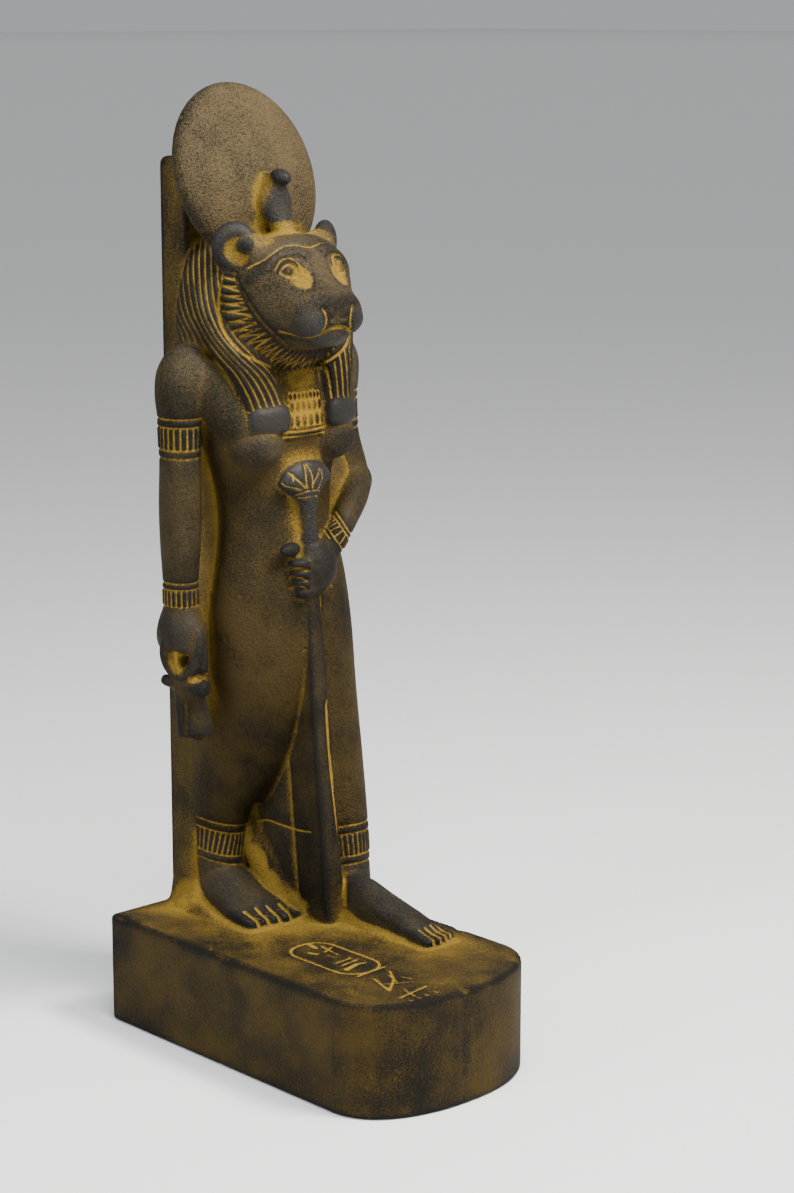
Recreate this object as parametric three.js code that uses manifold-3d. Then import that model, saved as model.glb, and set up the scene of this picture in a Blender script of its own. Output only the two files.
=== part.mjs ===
// A lioness-headed standing figure with a sun disc, cast in one piece with its back pillar and plinth.
// Millimetres, +Z up, the figure looks towards -Y. The origin is the middle of the plinth's underside.
import * as THREE from "three";
import { mergeVertices } from "three/addons/utils/BufferGeometryUtils.js";
import Module from "manifold-3d";

// Plinth: flat back, straight sides, and a front drawn as a flattened half round
const plinthWidth = 80;
const plinthLength = 141.7;
const plinthHeight = 39.4;
const frontDepth = 25.3;
const frontPower = 2.23;
const frontSteps = 18;
const plinthEdge = 1.1;

// Back pillar, flush with the back of the plinth
const pillarWidth = 44;
const pillarDepth = 14;
const pillarTop = 303.5;
const pillarCorner = 3;
const rampDepth = 6;
const rampHeight = 8;

// The figure's own height, from the plinth's top to the crown of the disc, and how far it stands off centre
const figureHeight = 288.6;
const figureShift = 10;
const discLean = 0.327;

// Slab between the legs, and the square shaft under the flower, which leans forward to its foot
const slabWidth = 15;
const slabDepth = 52;
const slabTop = 120;
const slabSide = -1.5;
const slabRoot = 7;
const slabRootDepth = 24;
const shaftWidth = 9;
const shaftHeadWidth = 7;
const shaftSide = -2.2;
const shaftThick = 13;
const shaftFoot = 62.7;
const shaftHead = 50.6;

// Carving: rise of the bracelets, slant of the toes, locks of the mane and the depth of their grooves
const bandRise = 0.7;
const toeSlant = 0.5;
const maneLocks = 28;
const maneGroove = 0.1;

// Name ring on the plinth's top, from its back end to its front end behind the plinth's front
const ringLeft = -20.9;
const ringRight = -3.8;
const ringBack = 71;
const ringFront = 106;
const ringCorner = 5;

// Everything carved is laid out for a figure of this height and grows with it
const drawnHeight = 288.6;
const share = figureHeight / drawnHeight;
const backPlane = plinthLength / 2;

const wasm = await Module();
wasm.setup();

// A point of the figure: to its left of the middle line, forward of the back plane, above the underside
function spot(side, depth, height) {
  const up = plinthHeight + (height - 39.4) * share;
  return new THREE.Vector3(figureShift + side * share, backPlane - depth * share, up);
}

// Geometry to solid, with its shared corners merged
function solid(geometry) {
  geometry.deleteAttribute("normal");
  geometry.deleteAttribute("uv");
  const merged = mergeVertices(geometry, 1e-4);
  const corners = Float32Array.from(merged.attributes.position.array);
  const faces = Uint32Array.from(merged.index.array);
  return new wasm.Manifold(new wasm.Mesh({ numProp: 3, vertProperties: corners, triVerts: faces }));
}

// One cross-section of a limb or a body: centre, half widths and how square it is
function section(side, depth, height, wide, deep, power = 2) {
  return { at: spot(side, depth, height), wide: wide * share, deep: deep * share, power };
}

// The same sections with grooves of this share of their width
function fluted(sections, flute) {
  return sections.map((plain) => ({ ...plain, flute }));
}

// A closed form through its sections, listed from its upper or outer end. They lie square to the line of
// their centres, or to path where it is given.
function form(sections, sides, across = new THREE.Vector3(1, 0, 0), path = null) {
  const rows = sections.length - 1;
  const geometry = new THREE.CylinderGeometry(1, 1, 1, sides, rows);
  const place = geometry.attributes.position;
  for (let i = 0; i < place.count; i += 1) {
    const row = Math.round((0.5 - place.getY(i)) * rows);
    const { at, wide, deep, power, flute = 0 } = sections[row];
    const before = sections[Math.max(row - 1, 0)].at;
    const after = sections[Math.min(row + 1, rows)].at;
    const along = path ?? before.clone().sub(after).normalize();
    const right = across.clone().addScaledVector(along, -across.dot(along)).normalize();
    const front = right.clone().cross(along);
    const round = (v) => Math.sign(v) * Math.abs(v) ** (2 / power);
    const step = Math.round((Math.atan2(place.getX(i), place.getZ(i)) / Math.PI) * (sides / 2));
    const groove = 1 - flute * (Math.abs(step) % 2);
    const point = at.clone().addScaledVector(right, wide * groove * round(place.getX(i)));
    point.addScaledVector(front, deep * groove * round(place.getZ(i)));
    place.setXYZ(i, point.x, point.y, point.z);
  }
  return solid(geometry);
}

// An egg-shaped lump, turned about the upright and then the sideways axis
function lump(side, depth, height, wide, deep, high, sides = 14, turn = 0, nod = 0) {
  const geometry = new THREE.SphereGeometry(1, sides, Math.round(sides / 2));
  geometry.rotateX(Math.PI / 2);
  geometry.scale(wide * share, deep * share, high * share);
  geometry.rotateX(nod);
  geometry.rotateZ(turn);
  const at = spot(side, depth, height);
  geometry.translate(at.x, at.y, at.z);
  return solid(geometry);
}

// A straight bar between two points with a round or square section
function bar(from, to, radius, sides = 6, tip = radius) {
  const length = from.distanceTo(to);
  const geometry = new THREE.CylinderGeometry(tip * share, radius * share, length, sides);
  const turn = new THREE.Quaternion();
  turn.setFromUnitVectors(new THREE.Vector3(0, 1, 0), to.clone().sub(from).normalize());
  geometry.applyQuaternion(turn);
  const middle = from.clone().add(to).multiplyScalar(0.5);
  geometry.translate(middle.x, middle.y, middle.z);
  return solid(geometry);
}

// Joins many solids into one
function join(parts) {
  return parts.reduce((whole, next) => whole.add(next));
}

// Plinth
function plinth() {
  const half = plinthWidth / 2 - plinthEdge;
  const front = -plinthLength / 2 + plinthEdge;
  const shoulder = -plinthLength / 2 + frontDepth;
  const outline = new THREE.Shape();
  outline.moveTo(half, plinthLength / 2 - plinthEdge);
  outline.lineTo(-half, plinthLength / 2 - plinthEdge);
  for (let i = 0; i <= frontSteps; i += 1) {
    const angle = (i / frontSteps) * Math.PI;
    const across = -Math.sign(Math.cos(angle)) * Math.abs(Math.cos(angle)) ** (2 / frontPower);
    const ahead = Math.sin(angle) ** (2 / frontPower);
    outline.lineTo(half * across, shoulder + (front - shoulder) * ahead);
  }
  const geometry = new THREE.ExtrudeGeometry(outline, {
    depth: plinthHeight - 2 * plinthEdge,
    bevelThickness: plinthEdge,
    bevelSize: plinthEdge,
    bevelSegments: 1,
  });
  geometry.translate(0, 0, plinthEdge);
  return solid(geometry);
}

// Back pillar with its foot spreading on to the plinth
function pillar() {
  const half = pillarWidth / 2;
  const outline = new THREE.Shape();
  outline.moveTo(-half, plinthHeight / 2);
  outline.lineTo(half, plinthHeight / 2);
  outline.lineTo(half, pillarTop - pillarCorner);
  outline.lineTo(half - pillarCorner, pillarTop);
  outline.lineTo(-half + pillarCorner, pillarTop);
  outline.lineTo(-half, pillarTop - pillarCorner);
  const shaft = new THREE.ExtrudeGeometry(outline, { depth: pillarDepth, bevelEnabled: false });
  shaft.rotateX(Math.PI / 2);
  shaft.translate(figureShift, backPlane, 0);
  const foot = new THREE.CylinderGeometry(pillarDepth, pillarDepth + rampDepth, rampHeight, 4, 1);
  foot.rotateY(Math.PI / 4);
  foot.rotateX(Math.PI / 2);
  const spread = (half + rampDepth) / (pillarDepth + rampDepth) * Math.SQRT2;
  foot.scale(spread, Math.SQRT2, 1);
  foot.translate(figureShift, backPlane, plinthHeight + rampHeight / 2 - plinthEdge);
  const behind = new THREE.BoxGeometry(plinthWidth * 2, pillarDepth * 4, rampHeight * 6);
  behind.translate(figureShift, backPlane + pillarDepth * 2, plinthHeight);
  return solid(shaft).add(solid(foot).subtract(solid(behind)));
}

// Sun disc: a thick round lens that leans back over the pillar
function disc() {
  return lump(0, 19.4, 296.8, 29.6, 10.8, 32.8, 20, 0, -discLean);
}

// Rearing cobra on the front of the disc
function cobra() {
  const hood = form([
    section(0, 32.4, 297, 2.4, 6.4),
    section(0, 34, 291, 5, 5.6),
    section(0, 36, 285, 4.6, 4.6),
    section(0, 40, 276, 2.4, 3.4),
  ], 10);
  return hood.add(lump(0, 38, 298.6, 2.5, 4.2, 2.3, 8, 0, 0.2));
}

// Dress and body from the neck to the hem
function body() {
  const trunk = form([
    section(0, 27, 242, 14, 12),
    section(0, 27, 236, 28, 12.5, 2.2),
    section(0, 29.5, 224, 32, 15, 2.3),
    section(0, 32, 208, 29, 15.5),
    section(0, 32.5, 194, 23.5, 14.5),
    section(0, 33.5, 180, 22, 14),
    section(0, 34.5, 164, 24.5, 15.5),
    section(0, 34, 146, 27, 17),
    section(0, 33.5, 130, 26, 17),
    section(0, 32, 116, 24, 15.5),
    section(-3, 28.5, 100, 18, 12.5),
    section(-8, 23.5, 84, 12, 8.5),
  ], 20);
  const breasts = [-1, 1].map((s) => {
    const fold = form([
      section(31 * s, 26, 236, 5, 5),
      section(27.6 * s, 31, 228, 6.6, 7),
      section(22.6 * s, 37, 217, 8, 8.4),
      section(19.4 * s, 40, 211, 7, 7.4),
    ], 6);
    return fold.add(lump(18.4 * s, 40, 210.4, 9.6, 10.4, 9, 8));
  });
  return join([trunk, ...breasts]);
}

// Legs under the dress, the left one ahead, with the anklets below the hem
function legs() {
  const right = form([
    section(-12, 31, 152, 14, 14),
    section(-11, 26, 122, 14.5, 14.5),
    section(-11.4, 21, 96, 12.8, 12.6),
    section(-12, 17.5, 80, 11.2, 11),
    section(-12, 15.4, 70.5, 9.4, 9.6),
    section(-12, 15, 54, 9, 9.2),
    section(-12, 15.5, 38, 8.6, 10),
  ], 12);
  const left = form([
    section(8, 33, 184, 7, 9),
    section(11, 36, 164, 12, 12.5),
    section(13, 38.5, 143, 12.8, 13.2),
    section(14.5, 42.5, 114, 11.4, 12),
    section(14.8, 46.5, 91, 10.6, 11),
    section(15, 50, 72, 9.6, 9.8),
    section(15, 52.8, 54, 8.8, 9),
    section(15, 53.5, 38, 8, 9.4),
  ], 12);
  const anklets = [
    band(spot(-12, 15.4, 69.5), spot(-12, 15, 54), 9.6, 9.8, 12),
    band(spot(15, 50.4, 69), spot(15, 52.8, 53.5), 9.6, 9.8, 12),
  ];
  return join([right, left, ...anklets]);
}

// Slab that joins the legs to each other and to the pillar, thicker where it leaves the pillar
function slab() {
  const foot = plinthHeight - plinthEdge;
  const high = spot(0, 0, slabTop).z - foot;
  const block = (side, front) => {
    const box = new THREE.BoxGeometry(slabWidth, front - plinthEdge, high);
    box.translate(figureShift + side + slabWidth / 2, backPlane - (front + plinthEdge) / 2, foot + high / 2);
    return solid(box);
  };
  return block(slabSide, slabDepth).add(block(slabSide - slabRoot, slabRootDepth));
}

// A foot with five toes; turn is the side of its big toe
function foot(side, heel, toe, wide, turn) {
  const length = toe - heel;
  const sole = form([
    section(side, heel + length * 0.86, 41.4, wide * 0.47, 3.2, 2.6),
    section(side, heel + length * 0.72, 42.2, wide * 0.49, 4.4, 2.5),
    section(side, heel + length * 0.5, 43.6, wide * 0.42, 7, 2.3),
    section(side, heel + length * 0.25, 46, wide * 0.36, 9, 2.2),
    section(side, heel, 43, wide * 0.28, 6, 2.2),
  ], 12);
  const toes = [0, 1, 2, 3, 4].map((i) => {
    const thick = i === 0 ? 2.9 : 2.3;
    const x = side + turn * (0.5 - (i + 0.5) / 5) * wide;
    const reach = toe - 5 - (i === 0 ? 0 : 0.9 * i * toeSlant);
    return lump(x, reach, 41.6, thick * 0.84, 5.4, thick, 6);
  });
  return join([sole, ...toes]);
}

// Bracelet: a hoop above and below a row of upright bars, round a limb that stands or slants
function band(from, to, wide, deep, bars, across = new THREE.Vector3(1, 0, 0)) {
  const rim = (t) => {
    const at = from.clone().lerp(to, t);
    return { at, wide: (wide + bandRise) * share, deep: (deep + bandRise) * share, power: 2 };
  };
  const staves = fluted([rim(0.22), rim(0.78)], bandRise / wide);
  return form([rim(0), rim(0.14), ...staves, rim(0.86), rim(1)], bars * 2, across);
}

// Right arm hanging with its armband, wristband and fist
function rightArm() {
  const arm = form([
    section(-30, 27, 238.5, 4, 6),
    section(-33, 27, 236, 8, 9),
    section(-35, 27, 230, 8.6, 9.6),
    section(-36.4, 27, 219, 6.6, 7.4),
    section(-36.4, 27, 204, 6.6, 7.2),
    section(-36.6, 27, 183, 7, 7.4),
    section(-37, 27, 162, 5.8, 6.2),
    section(-37, 27, 151, 5.8, 6.2),
    section(-37.8, 27.5, 147, 7.8, 8),
    section(-37.8, 28, 141, 8, 8.6),
    section(-37.5, 28.5, 136, 6, 6.5),
  ], 12);
  const armband = band(spot(-36.4, 27, 218), spot(-36.4, 27, 204.5), 6.8, 7.6, 12);
  const wristband = band(spot(-37, 27, 161.8), spot(-37, 27, 151), 6, 6.4, 11);
  return join([arm, armband, wristband]);
}

// Looped cross held in the hanging hand, its loop filled with a thin sheet of stone
function loopedCross() {
  const loop = new THREE.TorusGeometry(5.6, 2.4, 6, 12);
  loop.rotateX(Math.PI / 2);
  loop.scale(share, share, share);
  loop.rotateZ(0.5);
  const at = spot(-37, 30, 132.5);
  loop.translate(at.x, at.y, at.z);
  const arms = bar(spot(-39.5, 20, 126.5), spot(-34, 37, 124.5), 2.6, 8, 3.2);
  const stem = bar(spot(-36, 29, 108.5), spot(-37, 29, 128), 4.8, 8, 3.2);
  const sheet = lump(-37, 30, 132.5, 5, 1.2, 5, 8, 0.5);
  return join([solid(loop), sheet, arms, stem]);
}

// Left arm bent across the front, with its bands and the fist round the flower stem
function leftArm() {
  const across = new THREE.Vector3(0, 1, 0);
  const upper = form([
    section(29, 26, 238.5, 4, 6),
    section(31.5, 26, 236, 8, 9),
    section(33.6, 26, 230, 8.6, 9.6),
    section(35, 26, 220.5, 6.8, 7.4),
    section(35.6, 26.5, 206, 6.8, 7.4),
    section(37, 29.5, 193, 7.4, 8),
    section(35.5, 33, 184, 6.5, 7),
    section(33, 34, 180, 3, 4),
  ], 12);
  const fore = form([
    section(41, 30, 192, 4, 4),
    section(37, 33.5, 189.5, 7.4, 7.2),
    section(29, 40, 184.5, 7, 7),
    section(21, 46, 178.5, 6.2, 6.2),
    section(14, 49.5, 173, 5.6, 5.6),
    section(8, 50, 168.5, 5.6, 5.6),
  ], 12, across);
  const armband = band(spot(35, 26, 220), spot(35.6, 26.4, 207), 7, 7.6, 12);
  const bracelet = band(spot(22.4, 45, 179.8), spot(15, 49, 173.8), 6.5, 6.5, 11, across);
  const fist = lump(3, 49.5, 165, 9, 7.6, 9.6, 10, 0.3);
  const thumb = lump(-7.4, 51, 172.6, 5, 2.6, 2.4, 8, 0.3);
  const fingers = [0, 1, 2, 3].map((i) => lump(-4.8 + 0.7 * i, 51.5, 167.5 - 3.6 * i, 4, 4, 2, 6));
  return join([upper, fore, armband, bracelet, fist, thumb, ...fingers]);
}

// Flower sceptre: fan-shaped bloom, bound neck, waisted stem and the square shaft below the fist
function sceptre() {
  const bloom = form(fluted([
    section(1, 47.6, 201.2, 4, 1.6),
    section(1, 47.8, 200, 7.6, 2.8),
    section(1.2, 48.2, 195.6, 11, 4),
    section(1.4, 48.4, 192.4, 9.6, 4),
    section(1.4, 48.6, 188.6, 4.4, 3.4),
  ], 0.08), 18);
  const stem = form([
    section(1.4, 48.4, 190, 3.6, 3.6),
    section(1.6, 48.6, 184, 3.2, 3.6),
    section(1.8, 49, 178, 2.9, 3.4),
    section(2, 49, 170, 4, 4),
  ], 10);
  const rings = [189.8, 188].map((z) => form([
    section(1.4, 48.4, z, 4.4, 4.2),
    section(1.4, 48.4, z - 1.1, 4.4, 4.2),
  ], 12));
  const foot = [[shaftSide, shaftFoot], [shaftSide + shaftWidth, shaftFoot]];
  const head = [[shaftSide, shaftHead], [shaftSide + shaftHeadWidth, shaftHead]];
  const shaft = new THREE.BoxGeometry(1, 1, 1);
  const place = shaft.attributes.position;
  for (let i = 0; i < place.count; i += 1) {
    const low = place.getZ(i) < 0;
    const [side, depth] = (low ? foot : head)[Number(place.getX(i) > 0)];
    const point = spot(side, place.getY(i) < 0 ? depth : depth - shaftThick, low ? 38 : 163);
    place.setXYZ(i, point.x, point.y, point.z);
  }
  return join([bloom, stem, ...rings, solid(shaft)]);
}

// Stone left between the arms and the body
function web() {
  const block = (side, depth, high, low) => {
    const top = spot(side, depth, high);
    const bottom = spot(0, pillarDepth - 2, low);
    const size = top.clone().sub(bottom);
    const box = new THREE.BoxGeometry(Math.abs(size.x), Math.abs(size.y), size.z);
    box.translate((top.x + bottom.x) / 2, (top.y + bottom.y) / 2, (top.z + bottom.z) / 2);
    return solid(box);
  };
  return block(-30, 21, 228, 103).add(block(32, 26, 228, 184));
}

// Wig: a fluted mass behind the ears, and the two lappets on the chest with their plain ends
function wig() {
  const mass = form(fluted([
    section(0, 27, 277, 16, 13),
    section(0, 26, 270, 25, 18),
    section(0, 25, 258, 30.5, 20),
    section(0, 25, 246, 31.5, 20.5),
    section(0, 25.5, 236, 27, 17),
  ], 0.035), 48);
  const lappets = [-1, 1].map((s) => {
    const fall = form(fluted([
      section(24 * s, 35, 248, 7, 6, 2.6),
      section(20.2 * s, 42, 236, 7.8, 6, 2.6),
      section(17 * s, 46.4, 225, 7, 4.8, 2.8),
      section(15.8 * s, 48.2, 217, 6, 3.6, 3),
    ], 0.08), 20);
    const end = form([
      section(15.8 * s, 48.6, 219.4, 6.4, 4.4, 3),
      section(15.8 * s, 49.2, 213.6, 6.4, 4.2, 3),
    ], 12);
    return fall.add(end);
  });
  return join([mass, ...lappets]);
}

// Bead collar between the lappets
function collar() {
  const panel = form([
    section(0, 39, 240, 10, 6, 2.6),
    section(0.4, 43, 226, 11, 5, 2.6),
    section(0.6, 45, 209.5, 14, 4.6, 2.4),
  ], 12);
  const beads = [225, 220, 215.4].flatMap((z, row) => Array.from({ length: 5 }, (_, i) => {
    return lump((i - 2) * 2.7 + 0.6, 47.3 + row, z, 1, 1.5, 1.9, 4);
  }));
  return join([panel, ...beads]);
}

// Mane round the face: a leaning cone behind the cheeks, grooved into locks that end in points
function mane() {
  return form([
    ...fluted([section(0, 49, 258.5, 18, 18)], maneGroove / 2),
    ...fluted([section(0, 39.5, 254.6, 26, 22.4)], maneGroove),
    section(0, 30, 250.8, 20, 15),
  ], maneLocks * 2);
}

// Lioness head: skull, brow, broad muzzle, chin, eyes and round ears
function head() {
  const skull = form([
    section(0, 67.4, 253.2, 6, 3.6, 2.3),
    section(0, 65.6, 253, 10.8, 6.8, 2.3),
    section(0, 62.4, 252.7, 13, 10.1, 2.2),
    section(0, 58.6, 254.2, 14, 13, 2.1),
    section(0, 52.4, 257.8, 18.4, 17.4),
    section(0, 46, 259.6, 21.4, 18.9),
    section(0, 38, 260, 22.2, 18.2),
    section(0, 27, 260, 18.6, 13.6),
  ], 16, new THREE.Vector3(1, 0, 0), new THREE.Vector3(0, -1, 0));
  const pads = [-1, 1].map((s) => lump(8.6 * s, 62.4, 250.8, 6, 5.8, 5.4, 8));
  const chin = lump(0, 60.6, 245.2, 9.6, 6, 3.6, 8);
  const nose = lump(0, 63.6, 255.2, 5.4, 4.2, 3.6, 8);
  const eyes = [-1, 1].map((s) => lump(11.2 * s, 55.2, 267, 4, 2.4, 2.2, 8, 0.45 * s));
  const ears = [-1, 1].map((s) => {
    const cup = lump(20 * s, 37.5, 274.2, 8, 4.2, 8, 8, 0.55 * s);
    const hollow = lump(21.6 * s, 41.2, 273.6, 5.4, 3.6, 5.4, 6, 0.55 * s);
    return cup.subtract(hollow);
  });
  return join([skull, ...pads, chin, nose, ...eyes, ...ears]);
}

// Outlined name ring cut on the plinth's top, left blank
function nameRing() {
  const strokes = [];
  const ring = [
    [ringLeft, ringBack + ringCorner], [ringLeft, ringFront - ringCorner],
    [ringLeft + ringCorner, ringFront], [ringRight - ringCorner, ringFront],
    [ringRight, ringFront - ringCorner], [ringRight, ringBack + ringCorner],
    [ringRight - ringCorner, ringBack], [ringLeft + ringCorner, ringBack],
  ].map(([x, depth]) => new THREE.Vector3(x, backPlane - depth, plinthHeight));
  ring.forEach((from, i) => strokes.push(bar(from, ring[(i + 1) % ring.length], 0.5, 4)));
  return join(strokes);
}

const whole = join([
  plinth(),
  pillar(),
  disc(),
  cobra(),
  body(),
  legs(),
  slab(),
  foot(-14, 5, 51.5, 24, 1),
  foot(12.8, 46, 104.5, 14, -1),
  rightArm(),
  loopedCross(),
  leftArm(),
  sceptre(),
  web(),
  wig(),
  collar(),
  mane(),
  head(),
]).subtract(nameRing());

// Solid back to a geometry
function geometryOf(joined) {
  const { vertProperties, triVerts } = joined.getMesh();
  const geometry = new THREE.BufferGeometry();
  geometry.setAttribute("position", new THREE.BufferAttribute(Float32Array.from(vertProperties), 3));
  geometry.setIndex(Array.from(triVerts));
  geometry.computeVertexNormals();
  return geometry;
}

const stone = new THREE.MeshStandardMaterial({ color: 0x5a4c33, roughness: 0.85, metalness: 0 });
const statue = new THREE.Mesh(geometryOf(whole), stone);
statue.name = "statue";

const model = new THREE.Group();
model.add(statue);
export default model;
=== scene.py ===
import math

import bmesh
import bpy
import numpy as np
from mathutils import Matrix, Vector
from mathutils.bvhtree import BVHTree


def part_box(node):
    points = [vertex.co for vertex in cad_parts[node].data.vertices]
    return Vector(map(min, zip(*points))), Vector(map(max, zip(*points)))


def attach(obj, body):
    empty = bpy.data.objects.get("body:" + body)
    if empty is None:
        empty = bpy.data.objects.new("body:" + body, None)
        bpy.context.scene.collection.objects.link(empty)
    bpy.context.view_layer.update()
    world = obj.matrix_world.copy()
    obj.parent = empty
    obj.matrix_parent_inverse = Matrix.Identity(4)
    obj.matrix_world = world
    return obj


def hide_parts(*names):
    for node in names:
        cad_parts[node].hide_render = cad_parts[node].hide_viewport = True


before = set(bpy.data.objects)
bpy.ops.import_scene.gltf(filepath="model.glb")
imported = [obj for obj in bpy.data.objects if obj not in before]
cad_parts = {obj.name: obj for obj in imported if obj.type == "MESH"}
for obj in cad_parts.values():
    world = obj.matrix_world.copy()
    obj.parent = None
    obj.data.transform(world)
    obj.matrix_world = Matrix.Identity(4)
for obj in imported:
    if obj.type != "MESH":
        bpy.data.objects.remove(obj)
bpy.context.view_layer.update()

# Plinth. A thick block with a flat back, straight sides and a flattened half-round front, the lowest part
# of the casting. Its edges are worn round; a ring with strokes and two more rows are scratched in its top.
MM = 0.001
low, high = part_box("statue")
back_plane = high.y / MM
plinth_half = -low.x / MM
plinth_top = 39.4
front_depth = 25.3
front_power = 2.23
front_steps = 48
plinth_edge = 1.3
sharp_turn = 0.8
middle = 10.0
ring_near = -30.9
ring_far = -13.8
ring_back = 71.0
ring_front = 106.0
ring_corner = 7.5
stroke_depth = 0.45
clay = bmesh.new()
regions = []
cuts = []
swells = []


def spot(side, depth, height):
    """A point in millimetres: to the figure's left, forward of the back plane, above the underside."""
    return Vector((middle + side, back_plane - depth, height))


def lay(region, piece):
    """Adds a closed shape to the clay under the name of its region."""
    if region not in regions:
        regions.append(region)
    bmesh.ops.recalc_face_normals(piece, faces=piece.faces)
    for face in piece.faces:
        face.material_index = regions.index(region)
    mesh = bpy.data.meshes.new(region)
    piece.to_mesh(mesh)
    piece.free()
    clay.from_mesh(mesh)
    bpy.data.meshes.remove(mesh)


def cut(points, wide=1.0, deep=0.4, ochre=True, both=False):
    """A line to be cut later along the skin; both adds its mirror image, negative depth raises it."""
    for turned in (1, -1) if both else (1,):
        cuts.append(([(turned * x, d, z) for x, d, z in points], wide, deep, ochre))


def swell(at, size, lift=0.0, ochre=0.0, both=False):
    """A soft bump or dent, or a wash of ochre, to be made later round a place."""
    for turned in (1, -1) if both else (1,):
        swells.append(((turned * at[0], at[1], at[2]), size, lift, ochre))


piece = bmesh.new()
corners = [(plinth_half, back_plane), (-plinth_half, back_plane)]
for step in range(front_steps + 1):
    angle = math.pi * step / front_steps
    across = abs(math.cos(angle)) ** (2 / front_power) * (-1 if angle < math.pi / 2 else 1)
    ahead = math.sin(angle) ** (2 / front_power)
    corners.append((plinth_half * across, front_depth * (1 - ahead) - back_plane))
outline = piece.faces.new([piece.verts.new((x, y, 0)) for x, y in corners])
block = bmesh.ops.extrude_face_region(piece, geom=[outline])["geom"]
raised = [v for v in block if isinstance(v, bmesh.types.BMVert)]
bmesh.ops.translate(piece, vec=(0, 0, plinth_top), verts=raised)
bmesh.ops.recalc_face_normals(piece, faces=piece.faces)
rims = [e for e in piece.edges if len(e.link_faces) == 2 and e.calc_face_angle() > sharp_turn]
bmesh.ops.bevel(piece, geom=rims, offset=plinth_edge, segments=3, profile=0.5, affect="EDGES", material=-1)
lay("plinth", piece)

# The name ring, the strokes in it and before it, four dots at the front, and chips along the upper edge.
ring = []
ends = (
    (ring_near, ring_back, 180),
    (ring_far, ring_back, 270),
    (ring_far, ring_front, 0),
    (ring_near, ring_front, 90),
)
for x, d, start in ends:
    x += ring_corner if x == ring_near else -ring_corner
    d += ring_corner if d == ring_back else -ring_corner
    for turn in range(start, start + 91, 15):
        angle = math.radians(turn)
        ring.append((x + ring_corner * math.cos(angle), d + ring_corner * math.sin(angle), plinth_top))
cut(ring + ring[:1], wide=1.3, deep=0.5)
for x0, d0, x1, d1, wide in (
    (-19.6, 72.8, -20.4, 76.6, 2),
    (-25.2, 78.8, -24.2, 81.4, 1.8),
    (-17.8, 76.6, -19.2, 86.9, 1.1),
    (-21, 81.6, -15.8, 79.6, 1.1),
    (-22.6, 85.2, -21.2, 88.4, 1),
    (-25.7, 92.6, -18.1, 92, 1.1),
    (-25.8, 95.6, -18.2, 94.8, 1.1),
    (-27, 99.7, -21, 98, 2.2),
    (-21, 98, -17.8, 98.8, 1.2),
    (-28.6, 106.8, -15.4, 106, 1.2),
    (-26.2, 112.4, -30.1, 124, 1.2),
    (-30.1, 124, -21.5, 116.8, 1.2),
    (-21.5, 116.8, -17.2, 110.2, 1.2),
    (-23.2, 120.5, -20, 113, 1),
    (-26.8, 118.5, -19, 123.1, 1),
    (-18.2, 117.2, -17, 121, 1),
    (-32, 131, -18.4, 129, 1.2),
    (-26, 127, -27.4, 133, 1),
):
    cut([(x0, d0, plinth_top), (x1, d1, plinth_top)], wide, stroke_depth)
for x in (-31.4, -27.9, -24.2, -20):
    cut([(x, 134.6, plinth_top), (x + 0.5, 135.6, plinth_top)], wide=1.1, deep=0.4)
for x, d, size, lift in (
    (-49.6, 6, 2.4, -0.9),
    (-49.4, 61, 1.8, -0.5),
    (-40, 117, 3, -0.7),
    (-12, 141, 2.6, -0.8),
    (21, 131, 3, -0.7),
    (29.6, 96, 2.2, -0.6),
    (29.8, 30, 2.6, -0.7),
):
    swell((x, d, plinth_top - 0.6), (size, size * 1.6, 1.6), lift)

# Back pillar. A plain flat slab behind the figure, flush with the plinth's back, with its upper corners
# rounded and its foot running out on to the plinth in a soft ramp of stone.
pillar_half = 22
pillar_depth = 14
pillar_top = 303.5
pillar_foot = 20
pillar_corner = 3


def bend(sections, steps):
    """Rows in between, so that a form or a line passes softly through the given ones."""
    rows = np.array([tuple(row) + (2,) * (6 - len(row)) for row in sections], float)
    padded = np.vstack([rows[0], rows, rows[-1]])
    soft = []
    for a, b, c, d in zip(padded, padded[1:], padded[2:], padded[3:]):
        for t in np.arange(steps) / steps:
            curve = (2 * a - 5 * b + 4 * c - d) * t * t + (3 * b - a - 3 * c + d) * t**3
            soft.append(b + 0.5 * ((c - a) * t + curve))
    return np.array(soft + [rows[-1]])


def form(region, sections, sides=40, steps=5, across=(1, 0, 0), along=None):
    """A closed form through sections of side, depth, height, half width, half depth and squareness."""
    rows = bend(sections, steps)
    last = len(rows) - 1
    centres = [spot(*row[:3]) for row in rows]
    piece = bmesh.new()
    bmesh.ops.create_cone(piece, cap_ends=True, segments=sides, radius1=1, radius2=1, depth=1)
    upright = [e for e in piece.edges if abs(e.verts[0].co.z - e.verts[1].co.z) > 0.5]
    bmesh.ops.subdivide_edges(piece, edges=upright, cuts=last - 1, use_grid_fill=True)
    for vert in piece.verts:
        row = round((0.5 - vert.co.z) * last)
        wide, deep, power = rows[row][3:]
        path = along or centres[max(row - 1, 0)] - centres[min(row + 1, last)]
        path = Vector(path).normalized()
        right = (Vector(across) - path * path.dot(Vector(across))).normalized()
        front = right.cross(path)
        u = math.copysign(abs(vert.co.x) ** (2 / power), vert.co.x)
        v = math.copysign(abs(vert.co.y) ** (2 / power), vert.co.y)
        vert.co = centres[row] + right * wide * u + front * deep * v
    lay(region, piece)


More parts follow.
